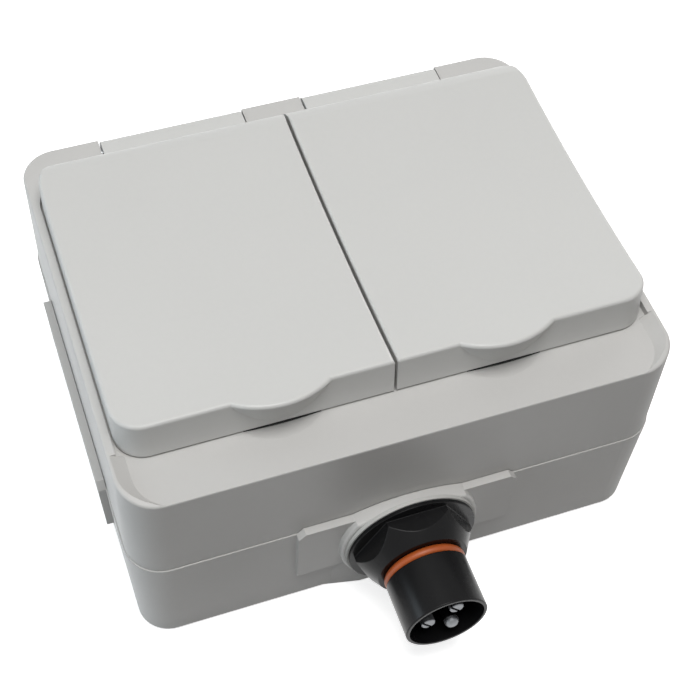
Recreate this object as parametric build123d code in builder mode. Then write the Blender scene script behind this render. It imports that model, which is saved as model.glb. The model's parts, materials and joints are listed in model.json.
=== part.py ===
from build123d import *
import os
from math import cos, radians, sin, sqrt, tan

# Surface mounted double socket outlet with two sprung lids and a panel plug.
# Millimetres. X runs along the box, Y up the wall, Z out of the wall.
# The origin is the centre of the back face.

# Box outline and walls
box_length = 150.0
box_height = 121.0
corner_radius = 10.0
base_depth = 36.9
cover_height = 31.9
wall = 2.4
floor_thickness = 2.6
deck_thickness = 2.5
base_draft = 2.3
base_step = 0.35
back_round = 1.2
cover_fit = 0.15

# Entry pads on the four walls of the base and the boss for the plug
front_pad_width = 62.4
side_pad_width = 67.2
side_pad_shift = 1.6
pad_thickness = 2.0
front_pad_depth = 21.0
side_pad_depth = 18.0
pad_tongue = 2.1
pad_chamfer = 2.0
boss_radius = 19.7
boss_proud = 1.95
boss_inside = 1.7
boss_rise = 14.7
boss_arch_radius = 50.0
boss_round = 0.8
skirt_thickness = 1.65
skirt_width = 40.4
skirt_slope = 8.2

# Screws that hold the cover, and the holes for the wall screws
cover_screw_inset_x = 9.5
cover_screw_inset_front = 24.5
cover_screw_inset_rear = 20.5
cover_screw_radius = 1.95
cover_screw_length = 45.0
cover_head_radius = 3.6
cover_head_height = 2.0
cover_tube_radius = 5.0
screw_gap = 0.2
thread_gap = 0.1
post_radius = 4.6
post_hole_depth = 22.0
post_gap = 0.1
wall_hole_inset_x = 23.0
wall_hole_inset_y = 18.5
wall_hole_radius = 2.6
wall_pad_radius = 6.5
wall_pad_height = 2.0
knockout_radius = 11.0
knockout_groove = 0.8

# Seal between the base and the cover
cover_gasket_width = 0.9
cover_gasket_height = 1.0
cover_gasket_inset = 0.8
gasket_gap = 0.05

# Recess of the cover that the lids lie in
rim_height = 2.8
rim_front_height = 2.0
rim_width = 2.4
rim_lip = 1.0
dish_width = 4.5
rim_fade_radius = 27.0
rim_round = 0.7
rear_rim_width = 9.5
recess_overshoot = 1.0
scoop_radius = 75.0
scoop_depth = 1.35
scoop_setback = 8.5

# Lids
ledge_depth = 15.8
lid_height = 12.0
lid_gap = 0.8
lid_side_gap = 0.5
lid_rear_gap = 1.0
lid_foot_gap = 0.6
lid_lean_front = 1.1
lid_lean_side = 0.1
lid_corner = 8.0
lid_rear_corner = 11.0
lid_skin = 2.2
lid_sag = 1.93
lid_edge_round = 0.9
roll_length = 7.4
roll_radius = 7.5
tab_half_chord = 13.75
tab_reach = 4.4
tab_foot_inset = 0.3

# Hinges of the lids
hinge_width = 42.3
hinge_slit = 0.5
barrel_radius = 3.4
barrel_proud = 0.5
leaf_proud = 0.4
hinge_pin_radius = 1.25
hinge_pin_grip = 4.2
hinge_pin_gap = 0.05
barrel_bore_gap = 0.3
trench_gap = 0.4
trench_wall = 2.2
spring_slot = 6.0
spring_slot_gap = 1.0
spring_slot_roof = 0.9
spring_wire = 0.35
spring_pin_gap = 0.45
spring_turns = 2.5

# Sockets under the lids
socket_x = 30.25
socket_y = 1.0
collar_height = 6.2
collar_radius = 22.2
collar_gap = 0.3
cup_radius = 19.5
cup_depth = 17.5
contact_pitch = 19.0
contact_hole_radius = 2.7
rib_width = 5.0
rib_depth = 2.0
insert_seal_thickness = 1.2
insert_seal_width = 4.0
shoulder_height = 3.1
plate_flange = 6.0
plate_thickness = 2.5
plate_corner = 5.0
block_size = 44.0
block_corner = 3.0
block_depth = 11.5
chamber_cover = 3.0
insert_screw_clearance = 1.5
insert_screw_radius = 1.4
insert_head_height = 1.6
insert_boss_radius = 3.4
insert_boss_cap = 0.6
lid_gasket_width = 4.0
lid_gasket_inset = 0.8
lid_gasket_clearance = 0.15
lid_gasket_height = 1.1
carrier_rib_step = 0.5

# Contact strips and earth clips
strip_thickness = 1.0
strip_width = 6.0
strip_offset = 8.0
sleeve_bore = 2.45
sleeve_wall = 0.75
sleeve_slot = 1.0
sleeve_gap = 0.3
sleeve_top_gap = 0.5
earth_strip_offset = 16.0
earth_clip_width = 5.0
earth_clip_thickness = 0.8
earth_bridge_depth = 3.9
earth_leg_reach = 1.1
earth_tip_reach = 1.1
earth_bump = 3.8
earth_top_gap = 2.2
slot_gap = 0.6
terminal_x = 8.0
terminal_width = 7.0
terminal_depth = 8.0
terminal_height = 7.0
terminal_screw_radius = 1.4
terminal_screw_length = 1.7
terminal_screw_offset = 1.2
terminal_head_radius = 2.6
terminal_head_height = 2.0
wire_radius = 1.6
wire_hole_gap = 0.15
wire_insert = 3.5
wire_straight = 12.0
wire_end_straight = 14.0
wire_bend = 14.0
line_wire_bend = 10.0

# Panel plug, pointing along -Y
plug_level = 26.8
plug_seal_thickness = 1.1
plug_seal_proud = 0.5
plug_flange_radius = 18.1
plug_flange_thickness = 1.0
plug_nut_flats = 29.0
plug_nut_length = 8.0
plug_nut_straight = 1.5
plug_nut_tip_radius = 12.7
plug_groove_width = 2.8
plug_groove_radius = 8.75
plug_tube_radius = 11.45
plug_tube_bore = 10.5
plug_tube_length = 14.9
plug_tube_floor = 1.9
plug_lip_round = 0.25
plug_shank_radius = 8.5
plug_shank_gap = 0.3
plug_shank_inside = 9.4
plug_core_wall = 1.0
plug_core_gap = 0.1
o_ring_cord = 1.35
o_ring_gap = 0.05
locknut_flats = 23.0
locknut_thickness = 4.0
locknut_gap = 0.2
contact_pin_radius = 1.95
contact_pin_circle = 4.7
contact_pin_inside = 1.4
contact_pin_tail = 2.0
contact_pin_gap = 0.1
contact_pin_chamfer = 0.2
contact_pin_nose = 1.5
earth_pin_lead = 1.0
contact_slot = 0.7
contact_slot_depth = 5.0
contact_slot_angle = 52.0
contact_slot_offset = 0.45

# Levels and places that follow from the sizes above
half_length = box_length / 2
half_height = box_height / 2
parting_level = base_depth
deck_level = parting_level + cover_height
deck_underside = deck_level - deck_thickness
rim_level = deck_level + rim_height
rim_fade_y = corner_radius - half_height
lid_level = deck_level + lid_height
lid_foot = deck_level + lid_foot_gap
pad_top = parting_level + pad_tongue
front_pad_bottom = parting_level - front_pad_depth
side_pad_bottom = parting_level - side_pad_depth
boss_face = half_height + base_step + pad_thickness + boss_proud
boss_seat = half_height - wall - boss_inside
boss_top = plug_level + boss_rise
cover_screw_x = half_length - cover_screw_inset_x
cover_screw_front = cover_screw_inset_front - half_height
cover_screw_rear = half_height - cover_screw_inset_rear
wall_hole_x = half_length - wall_hole_inset_x
wall_hole_y = half_height - wall_hole_inset_y
recess_rear = half_height - rear_rim_width
lid_outer = half_length - rim_width - lid_side_gap - lid_lean_side
lid_front = ledge_depth - half_height
dish_rear = lid_front + lid_lean_front
lid_rear = recess_rear - lid_rear_gap
roll_start = lid_rear - roll_length
scoop_y = lid_front + scoop_setback
hinge_start = socket_x - hinge_width / 2
hinge_y = half_height - barrel_radius + barrel_proud
leaf_level = rim_level + leaf_proud
hinge_z = leaf_level - barrel_radius
trench_front = hinge_y - barrel_radius - trench_gap
trench_floor = hinge_z - barrel_radius - trench_gap
spring_radius = hinge_pin_radius + spring_pin_gap + spring_wire
crown_half = (roll_start - lid_front) / 2
crown_middle = (roll_start + lid_front) / 2
crown_radius = (crown_half**2 + lid_sag**2) / (2 * lid_sag)
tab_radius = (tab_half_chord**2 + tab_reach**2) / (2 * tab_reach)
tab_centre = lid_front - tab_reach + tab_radius
lid_rise = lid_level - lid_foot
lid_reach_y = lid_front - tab_reach - 2
collar_top = deck_level + collar_height
cup_floor = collar_top - cup_depth
shoulder_radius = collar_radius + collar_gap + insert_seal_width
shoulder_top = deck_underside - insert_seal_thickness
plate_top = shoulder_top - shoulder_height
plate_bottom = plate_top - plate_thickness
block_bottom = cup_floor - block_depth
plate_size = block_size + 2 * plate_flange
insert_screw_offset = block_size / 2 + insert_screw_clearance
chamber_top = cup_floor - chamber_cover
sleeve_radius = sleeve_bore + sleeve_wall
sleeve_top = chamber_top - sleeve_top_gap
chamber_radius = sleeve_radius + sleeve_gap
lid_gasket_inner = cup_radius + lid_gasket_inset
lid_gasket_outer = lid_gasket_inner + lid_gasket_width
lid_gasket_bottom = collar_top + lid_gasket_clearance
lid_gasket_top = lid_gasket_bottom + lid_gasket_height
earth_bridge = cup_floor - earth_bridge_depth
earth_top = collar_top - earth_top_gap
earth_leg = cup_radius + earth_leg_reach
earth_tip = cup_radius - earth_tip_reach
strip_bottom = block_bottom - strip_thickness
terminal_bottom = strip_bottom - terminal_height
wire_level = strip_bottom - terminal_height / 2
earth_strip_y = socket_y + earth_strip_offset
earth_strip_top = earth_bridge - earth_clip_thickness / 2
earth_strip_bottom = earth_strip_top - strip_thickness
seal_end = boss_face + plug_seal_thickness
flange_end = seal_end + plug_flange_thickness
nut_end = flange_end + plug_nut_length
nut_corner = plug_nut_flats / sqrt(3)
groove_end = nut_end + plug_groove_width
tube_floor = groove_end + plug_tube_floor
tube_end = groove_end + plug_tube_length
shank_start = boss_seat - plug_shank_inside
core_radius = plug_shank_radius - plug_core_wall
contact_pin_end = tube_end - contact_pin_inside
contact_pin_start = shank_start + contact_pin_tail
cover_screw_points = [
    (side * cover_screw_x, y) for side in (-1, 1) for y in (cover_screw_front, cover_screw_rear)
]
wall_hole_points = [(sx * wall_hole_x, sy * wall_hole_y) for sx in (-1, 1) for sy in (-1, 1)]
insert_screw_points = [
    (socket_x + s * insert_screw_offset, socket_y - s * insert_screw_offset) for s in (-1, 1)
]
insert_boss_points = insert_screw_points + [(-x, y) for x, y in insert_screw_points]
plug_plane = Plane(origin=(0, 0, plug_level), x_dir=(0, -1, 0), z_dir=(1, 0, 0))
plug_axis = Axis((0, 0, plug_level), (0, -1, 0))


def base_outline(level, grow=0.0):
    """Drafted outline of the base at a level, moved outwards by grow."""
    side = base_step + grow - (parting_level - level) * tan(radians(base_draft))
    RectangleRounded(box_length + 2 * side, box_height + 2 * side, corner_radius + side)


def pad_face(plane, middle, width, bottom):
    """Front view of a pair of entry pads, with their upper corners cut off."""
    low, high = middle - width / 2, middle + width / 2
    with BuildSketch(plane) as face:
        with BuildLine():
            Polyline(
                (low, bottom),
                (high, bottom),
                (high, parting_level),
                (high - pad_chamfer, pad_top),
                (low + pad_chamfer, pad_top),
                (low, parting_level),
                close=True,
            )
        make_face()
    return face.sketch


def skirt_plan(level):
    """Plan of the skirt under the plug boss at a level of the drafted front wall."""
    front = half_height + base_step - (parting_level - level) * tan(radians(base_draft))
    half = skirt_width / 2
    root = skirt_slope * wall / (2 * skirt_thickness)
    with BuildSketch(Plane.XY.offset(level)) as plan:
        with BuildLine():
            Polyline(
                (-half - root, wall / 2 - front),
                (skirt_slope - half, -front - skirt_thickness),
                (half - skirt_slope, -front - skirt_thickness),
                (half + root, wall / 2 - front),
                close=True,
            )
        make_face()
    return plan.sketch


def lid_outline(level, inset):
    """Plan outline of the right lid at a level, moved inwards by inset."""
    lean = (level - lid_foot) / lid_rise
    outer = lid_outer + lid_lean_side * (1 - lean) - inset
    front = lid_front - lid_lean_front * (1 - lean) + inset
    inner = lid_gap / 2 + inset
    rear = lid_rear - inset
    with BuildSketch(Plane.XY.offset(level)) as outline:
        with Locations(((inner + outer) / 2, (front + rear) / 2)):
            Rectangle(outer - inner, rear - front)
        outer_corners = outline.vertices().group_by(Axis.X)[-1].sort_by(Axis.Y)
        fillet(outer_corners[0], lid_corner - inset)
        fillet(outline.vertices().group_by(Axis.X)[-1].sort_by(Axis.Y)[-1], lid_rear_corner - inset)
    return outline.sketch


def crown_height(y):
    """Level of the hollow crown of the lids at a distance along Y."""
    return lid_level - lid_sag + crown_radius - sqrt(crown_radius**2 - (y - crown_middle) ** 2)


def crown_section(inset):
    """Side section below the hollow crown, running past the lid at both ends."""
    end_y = lid_rear + 2
    foot = lid_foot - inset
    with BuildSketch(Plane.YZ) as section:
        with BuildLine():
            crown = ThreePointArc(
                (lid_reach_y, crown_height(lid_reach_y) - inset),
                (crown_middle, crown_height(crown_middle) - inset),
                (end_y, crown_height(end_y) - inset),
            )
            Polyline(crown @ 1, (end_y, foot), (lid_reach_y, foot), crown @ 0)
        make_face()
    return section.sketch


def roll_section(inset):
    """Side section of what the rounded rear edge takes off the lid."""
    top = lid_level - inset
    reach = lid_rear - roll_start + 1
    with BuildSketch(Plane.YZ) as section:
        with Locations((roll_start, top + roll_radius)):
            Rectangle(reach, 2 * roll_radius, align=(Align.MIN, Align.MAX))
        with Locations((roll_start, top - roll_radius + inset)):
            Circle(roll_radius - inset, mode=Mode.SUBTRACT)
        with Locations((roll_start, top - roll_radius + inset)):
            Rectangle(reach, roll_radius, align=(Align.MIN, Align.MAX), mode=Mode.SUBTRACT)
    return section.sketch


def tab_cone(inset):
    """Cone whose front arc is the finger tab, running back into the front wall."""
    foot_radius = tab_centre - (lid_front - lid_lean_front) - tab_foot_inset
    flare = (tab_radius - foot_radius) / lid_rise
    height = lid_rise + 2
    with Locations((socket_x, tab_centre, lid_foot)):
        Cone(
            foot_radius - inset,
            tab_radius + 2 * flare - inset,
            height,
            align=(Align.CENTER, Align.CENTER, Align.MIN),
        )


# Base with its entry pads, plug boss, screw posts and wall holes
with BuildPart() as entry_pads:
    extrude(pad_face(Plane.XZ, 0, front_pad_width, front_pad_bottom), amount=box_height, both=True)
    extrude(
        pad_face(Plane.YZ, side_pad_shift, side_pad_width, side_pad_bottom), amount=box_length, both=True
    )
    for level in (min(front_pad_bottom, side_pad_bottom), pad_top):
        with BuildSketch(Plane.XY.offset(level)):
            base_outline(level, pad_thickness)
    loft(ruled=True, mode=Mode.INTERSECT)

with BuildPart() as back_box:
    for level in (0, parting_level):
        with BuildSketch(Plane.XY.offset(level)):
            base_outline(level)
    loft(ruled=True)
    fillet(back_box.faces().sort_by(Axis.Z)[0].outer_wire().edges(), back_round)
    add(entry_pads.part)
    loft([skirt_plan(0), skirt_plan(plug_level)], ruled=True)
    for level in (floor_thickness, parting_level):
        with BuildSketch(Plane.XY.offset(level)):
            base_outline(level, -wall)
    loft(ruled=True, mode=Mode.SUBTRACT)
    with BuildSketch(Plane.XZ.offset(boss_seat)):
        with Locations((0, plug_level)):
            Circle(boss_radius)
        with Locations((0, boss_top - boss_arch_radius)):
            Circle(boss_arch_radius, mode=Mode.INTERSECT)
    extrude(amount=boss_face - boss_seat)
    fillet(back_box.faces().sort_by(Axis.Y)[0].edges(), boss_round)
    with BuildSketch(Plane.XY.offset(parting_level)):
        RectangleRounded(
            box_length + 2 * cover_fit, box_height + 2 * cover_fit, corner_radius + cover_fit
        )
    extrude(amount=2 * wall + boss_top - parting_level, mode=Mode.SUBTRACT)
    with BuildSketch(Plane.XY.offset(parting_level)):
        base_outline(parting_level, gasket_gap - cover_gasket_inset)
        offset(amount=-cover_gasket_width - 2 * gasket_gap, mode=Mode.SUBTRACT)
    extrude(amount=-cover_gasket_height, mode=Mode.SUBTRACT)
    with BuildSketch(Plane.XY.offset(floor_thickness)):
        with Locations(*cover_screw_points):
            Circle(post_radius)
    extrude(amount=parting_level - floor_thickness)
    with BuildSketch(Plane.XY.offset(parting_level)):
        with Locations(*cover_screw_points):
            Circle(cover_screw_radius + thread_gap)
    extrude(amount=-post_hole_depth, mode=Mode.SUBTRACT)
    with BuildSketch(Plane.XY.offset(floor_thickness)):
        with Locations(*wall_hole_points):
            Circle(wall_pad_radius)
    extrude(amount=wall_pad_height)
    with BuildSketch():
        with Locations(*wall_hole_points):
            Circle(wall_hole_radius)
    extrude(amount=floor_thickness + wall_pad_height, mode=Mode.SUBTRACT)
    with BuildSketch():
        Circle(knockout_radius)
        Circle(knockout_radius - knockout_groove, mode=Mode.SUBTRACT)
    extrude(amount=knockout_groove, mode=Mode.SUBTRACT)
    with BuildSketch(Plane.XZ.offset(boss_seat - 1)):
        with Locations((0, plug_level)):
            Circle(plug_shank_radius + plug_shank_gap)
    extrude(amount=boss_face - boss_seat + 2, mode=Mode.SUBTRACT)

with BuildPart() as cover_gasket:
    with BuildSketch(Plane.XY.offset(parting_level)):
        base_outline(parting_level, -cover_gasket_inset)
        offset(amount=-cover_gasket_width, mode=Mode.SUBTRACT)
    extrude(amount=-cover_gasket_height)

# Dished ledge in front of the lids, which runs out at the front edge
with BuildPart() as ledge_dish:
    for level, inset in (
        (deck_level, dish_width),
        (deck_level + 2 * rim_front_height, 2 * rim_lip - dish_width),
    ):
        with BuildSketch(Plane.XY.offset(level)) as outline:
            with Locations((0, (dish_rear - half_height - recess_overshoot) / 2)):
                Rectangle(box_length - 2 * inset, dish_rear + half_height + recess_overshoot)
            fillet(outline.vertices().group_by(Axis.Y)[0], corner_radius + recess_overshoot)
    loft(ruled=True)

# Cover with its ledge, rim, hinge trenches and socket openings
with BuildPart() as cover_frame:
    with BuildSketch(Plane.XY.offset(parting_level)):
        RectangleRounded(box_length, box_height, corner_radius)
    extrude(amount=rim_level - parting_level)
    with BuildSketch(Plane.YZ):
        with BuildLine():
            slope = Line((half_height + wall, rim_level), (rim_fade_y, deck_level + rim_front_height))
            fade = JernArc(slope @ 1, slope % 1, rim_fade_radius, 30)
            Polyline(
                fade @ 1,
                ((fade @ 1).X, rim_level + rim_height),
                (half_height + wall, rim_level + rim_height),
                slope @ 0,
            )
        make_face()
    extrude(amount=box_length, both=True, mode=Mode.SUBTRACT)
    seam = cover_frame.edges().sort_by_distance((0, rim_fade_y, deck_level + rim_front_height))[0]
    rim_edges = [edge for edge in cover_frame.edges() if edge.center().Z > deck_level - rim_round]
    fillet([edge for edge in rim_edges if edge != seam], rim_round)
    with BuildSketch(Plane.XY.offset(parting_level)):
        RectangleRounded(box_length - 2 * wall, box_height - 2 * wall, corner_radius - wall)
    extrude(amount=deck_underside - parting_level, mode=Mode.SUBTRACT)
    with BuildSketch(Plane.XY.offset(deck_level)) as recess:
        with Locations((0, (recess_rear + dish_rear) / 2)):
            Rectangle(box_length - 2 * rim_width, recess_rear - dish_rear)
        fillet(recess.vertices().group_by(Axis.Y)[-1], lid_rear_corner + lid_side_gap)
    extrude(amount=rim_level - deck_level + 1, mode=Mode.SUBTRACT)
    add(ledge_dish.part, mode=Mode.SUBTRACT)
    with Locations(*[(side * socket_x, half_height - 1, trench_floor - trench_wall) for side in (-1, 1)]):
        Box(
            hinge_width + hinge_slit + 2 * trench_wall,
            half_height - 1 - trench_front + trench_wall,
            deck_level - trench_floor + trench_wall,
            align=(Align.CENTER, Align.MAX, Align.MIN),
        )
    with Locations(*[(side * socket_x, trench_front, trench_floor) for side in (-1, 1)]):
        Box(
            hinge_width + hinge_slit,
            box_height,
            rim_level,
            align=(Align.CENTER, Align.MIN, Align.MIN),
            mode=Mode.SUBTRACT,
        )
    with Locations(*[(side * socket_x, recess_rear - 1, deck_level) for side in (-1, 1)]):
        Box(
            hinge_width + hinge_slit,
            box_height,
            rim_level,
            align=(Align.CENTER, Align.MIN, Align.MIN),
            mode=Mode.SUBTRACT,
        )
    for side in (-1, 1):
        with BuildSketch(Plane.YZ.offset(side * socket_x)):
            with Locations((hinge_y, hinge_z)):
                Circle(hinge_pin_radius + hinge_pin_gap)
        extrude(amount=hinge_width / 2 + hinge_pin_grip + hinge_pin_gap, both=True, mode=Mode.SUBTRACT)
    with Locations(
        *[(side * socket_x, scoop_y, deck_level - scoop_depth + scoop_radius) for side in (-1, 1)]
    ):
        Sphere(scoop_radius, mode=Mode.SUBTRACT)
    with BuildSketch(Plane.XY.offset(deck_underside)):
        with Locations(*cover_screw_points):
            Circle(cover_tube_radius)
    extrude(amount=parting_level + post_gap - deck_underside)
    with BuildSketch(Plane.XY.offset(deck_underside)):
        with Locations(*insert_boss_points):
            Circle(insert_boss_radius)
    extrude(amount=plate_top - deck_underside)
    with BuildSketch(Plane.XY.offset(plate_top)):
        with Locations(*insert_boss_points):
            Circle(insert_screw_radius + thread_gap)
    extrude(amount=deck_underside - plate_top + insert_boss_cap, mode=Mode.SUBTRACT)
    with BuildSketch(Plane.XY.offset(parting_level)):
        with Locations(*cover_screw_points):
            Circle(cover_screw_radius + screw_gap)
        with Locations((-socket_x, socket_y), (socket_x, socket_y)):
            Circle(collar_radius + collar_gap)
    extrude(amount=rim_level - parting_level, mode=Mode.SUBTRACT)
    with BuildSketch(Plane.XY.offset(deck_level)):
        with Locations(*cover_screw_points):
            Circle(cover_head_radius + screw_gap)
    extrude(amount=-cover_head_height - screw_gap, mode=Mode.SUBTRACT)

# Lids, the right one drawn and the left one its mirror image
with BuildPart() as lid_hollow:
    loft([lid_outline(lid_foot - 1, lid_skin), lid_outline(lid_level + 2, lid_skin)], ruled=True)
    tab_cone(lid_skin)
    extrude(crown_section(lid_skin), amount=box_length / 2, mode=Mode.INTERSECT)
    extrude(roll_section(lid_skin), amount=box_length / 2, mode=Mode.SUBTRACT)

with BuildPart() as right_lid:
    loft([lid_outline(lid_foot, 0), lid_outline(lid_level + 2, 0)], ruled=True)
    tab_cone(0)
    extrude(crown_section(0), amount=box_length / 2, mode=Mode.INTERSECT)
    fillet(right_lid.faces().sort_by(Axis.Z)[-1].edges(), lid_edge_round)
    extrude(roll_section(0), amount=box_length / 2, mode=Mode.SUBTRACT)
    add(lid_hollow.part, mode=Mode.SUBTRACT)
    with BuildSketch(Plane.XY.offset(lid_gasket_top)):
        with Locations((socket_x, socket_y)):
            Circle(lid_gasket_outer + carrier_rib_step)
            Circle(lid_gasket_inner - carrier_rib_step, mode=Mode.SUBTRACT)
    extrude(amount=crown_height(socket_y) - lid_skin / 2 - lid_gasket_top)
    with Locations((socket_x, lid_rear - lid_skin / 2, lid_foot)):
        Box(
            hinge_width - hinge_slit,
            hinge_y - lid_rear + lid_skin / 2,
            leaf_level - lid_foot,
            align=(Align.CENTER, Align.MIN, Align.MIN),
        )
    with BuildSketch(Plane.YZ.offset(hinge_start + hinge_slit / 2)):
        with Locations((hinge_y, hinge_z)):
            Circle(barrel_radius)
    extrude(amount=hinge_width - hinge_slit)
    with BuildSketch(Plane.YZ.offset(hinge_start)):
        with Locations((hinge_y, hinge_z)):
            Circle(hinge_pin_radius + barrel_bore_gap)
    extrude(amount=hinge_width, mode=Mode.SUBTRACT)
    with Locations((socket_x, hinge_y, hinge_z - barrel_radius)):
        Box(
            spring_slot,
            2 * (barrel_radius + spring_slot_roof),
            2 * barrel_radius - spring_slot_roof,
            align=(Align.CENTER, Align.CENTER, Align.MIN),
            mode=Mode.SUBTRACT,
        )

with BuildPart() as left_lid:
    mirror(right_lid.part, about=Plane.YZ)

with BuildPart() as right_lid_gasket:
    with BuildSketch(Plane.XY.offset(lid_gasket_bottom)):
        with Locations((socket_x, socket_y)):
            Circle(lid_gasket_outer)
            Circle(lid_gasket_inner, mode=Mode.SUBTRACT)
    extrude(amount=lid_gasket_height)

with BuildPart() as left_lid_gasket:
    mirror(right_lid_gasket.part, about=Plane.YZ)

# Hinge pins and the torsion springs that close the lids
with BuildPart() as right_hinge_pin:
    with BuildSketch(Plane.YZ.offset(hinge_start - hinge_pin_grip)):
        with Locations((hinge_y, hinge_z)):
            Circle(hinge_pin_radius)
    extrude(amount=hinge_width + 2 * hinge_pin_grip)

with BuildPart() as left_hinge_pin:
    mirror(right_hinge_pin.part, about=Plane.YZ)

spring_length = spring_slot - 2 * spring_slot_gap
spring_pitch = spring_length / spring_turns
spring_leg = hinge_y - trench_front - trench_gap
with BuildPart() as right_lid_spring:
    with BuildLine() as coil:
        turns = Helix(
            pitch=spring_pitch,
            height=spring_length,
            radius=spring_radius,
            center=(socket_x - spring_length / 2, hinge_y, hinge_z),
            direction=(1, 0, 0),
            lefthand=True,
        )
        Line(turns @ 0 - (turns % 0) * spring_leg, turns @ 0)
        Line(turns @ 1, turns @ 1 + (turns % 1) * spring_leg)
    with BuildSketch(Plane(origin=coil.line @ 0, z_dir=coil.line % 0)):
        Circle(spring_wire)
    sweep()

with BuildPart() as left_lid_spring:
    mirror(right_lid_spring.part, about=Plane.YZ)

# Socket inserts with their seals and earth clips
with BuildPart() as right_socket_insert:
    with BuildSketch(Plane.XY.offset(block_bottom)):
        with Locations((socket_x, socket_y)):
            RectangleRounded(block_size, block_size, block_corner)
    extrude(amount=plate_bottom - block_bottom)
    with BuildSketch(Plane.XY.offset(plate_bottom)):
        with Locations((socket_x, socket_y)):
            RectangleRounded(plate_size, plate_size, plate_corner)
        with Locations(*insert_screw_points):
            Circle(insert_screw_radius + screw_gap, mode=Mode.SUBTRACT)
    extrude(amount=plate_top - plate_bottom)
    with BuildSketch(Plane.XY.offset(plate_top)):
        with Locations((socket_x, socket_y)):
            Circle(shoulder_radius)
    extrude(amount=shoulder_top - plate_top)
    with BuildSketch(Plane.XY.offset(shoulder_top)):
        with Locations((socket_x, socket_y)):
            Circle(collar_radius)
    extrude(amount=collar_top - shoulder_top)
    with BuildSketch(Plane.XY.offset(cup_floor)):
        with Locations((socket_x, socket_y)):
            Circle(cup_radius)
            with Locations((-cup_radius, 0), (cup_radius, 0)):
                Rectangle(2 * rib_depth, rib_width, mode=Mode.SUBTRACT)
    extrude(amount=collar_top - cup_floor, mode=Mode.SUBTRACT)
    with BuildSketch(Plane.XY.offset(block_bottom)):
        with Locations((socket_x, socket_y)):
            with Locations((-contact_pitch / 2, 0), (contact_pitch / 2, 0)):
                Circle(chamber_radius)
    extrude(amount=chamber_top - block_bottom, mode=Mode.SUBTRACT)
    with BuildSketch(Plane.XY.offset(block_bottom)):
        with Locations((socket_x, socket_y)):
            with Locations((-contact_pitch / 2, 0), (contact_pitch / 2, 0)):
                Circle(contact_hole_radius)
    extrude(amount=cup_floor - block_bottom, mode=Mode.SUBTRACT)
    with Locations((socket_x, socket_y, block_bottom)):
        Box(
            earth_clip_width + 2 * slot_gap,
            2 * earth_leg + earth_clip_thickness + slot_gap,
            earth_bridge + earth_clip_thickness / 2 + thread_gap - block_bottom,
            align=(Align.CENTER, Align.CENTER, Align.MIN),
            mode=Mode.SUBTRACT,
        )
    for side in (-1, 1):
        with Locations((socket_x, socket_y + side * (earth_leg - earth_leg_reach / 2), block_bottom)):
            Box(
                earth_clip_width + 2 * slot_gap,
                earth_leg_reach + earth_clip_thickness + slot_gap,
                collar_top - earth_top_gap + slot_gap - block_bottom,
                align=(Align.CENTER, Align.CENTER, Align.MIN),
                mode=Mode.SUBTRACT,
            )
    with Locations((socket_x, socket_y + earth_strip_offset, block_bottom)):
        Box(
            block_size,
            strip_width + slot_gap,
            earth_strip_top - block_bottom,
            align=(Align.MAX, Align.CENTER, Align.MIN),
            mode=Mode.SUBTRACT,
        )

with BuildPart() as left_socket_insert:
    mirror(right_socket_insert.part, about=Plane.YZ)

with BuildPart() as right_insert_seal:
    with BuildSketch(Plane.XY.offset(shoulder_top)):
        with Locations((socket_x, socket_y)):
            Circle(shoulder_radius)
            Circle(collar_radius + collar_gap, mode=Mode.SUBTRACT)
    extrude(amount=deck_underside - shoulder_top)

with BuildPart() as left_insert_seal:
    mirror(right_insert_seal.part, about=Plane.YZ)

with BuildPart() as right_earth_clip:
    with BuildSketch(Plane.YZ.offset(socket_x - earth_clip_width / 2)):
        with BuildLine():
            FilletPolyline(
                (socket_y - earth_leg, earth_top),
                (socket_y - earth_tip, earth_top - earth_bump),
                (socket_y - earth_leg, earth_top - 2 * earth_bump),
                (socket_y - earth_leg, earth_bridge),
                (socket_y + earth_leg, earth_bridge),
                (socket_y + earth_leg, earth_top - 2 * earth_bump),
                (socket_y + earth_tip, earth_top - earth_bump),
                (socket_y + earth_leg, earth_top),
                radius=1.0,
            )
        trace(line_width=earth_clip_thickness)
    extrude(amount=earth_clip_width)

with BuildPart() as left_earth_clip:
    mirror(right_earth_clip.part, about=Plane.YZ)

# Contact strips that join the two sockets, each with its screw terminal
def contact_strip(side):
    """Strip beside the contacts, with two spring sleeves and a terminal block."""
    strip_y = socket_y + side * strip_offset
    sleeve_points = [(x + side * contact_pitch / 2, socket_y) for x in (-socket_x, socket_x)]
    strip_start = sleeve_points[0][0] - sleeve_radius
    strip_end = sleeve_points[1][0] + sleeve_radius
    with BuildSketch(Plane.XY.offset(strip_bottom)) as strip:
        with Locations(((strip_start + strip_end) / 2, strip_y)):
            Rectangle(strip_end - strip_start, strip_width)
        for x, y in sleeve_points:
            with Locations((x, (strip_y + y) / 2)):
                Rectangle(2 * sleeve_radius, strip_offset)
        with Locations(*sleeve_points):
            Circle(sleeve_radius)
    extrude(strip.sketch, amount=strip_thickness)
    with BuildSketch(Plane.XY.offset(block_bottom)) as sleeves:
        with Locations(*sleeve_points):
            Circle(sleeve_radius)
            Circle(sleeve_bore, mode=Mode.SUBTRACT)
            Rectangle(sleeve_slot, 3 * sleeve_radius, mode=Mode.SUBTRACT)
    extrude(sleeves.sketch, amount=sleeve_top - block_bottom)
    terminal_block(side * terminal_x, strip_y, strip_bottom)


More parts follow.
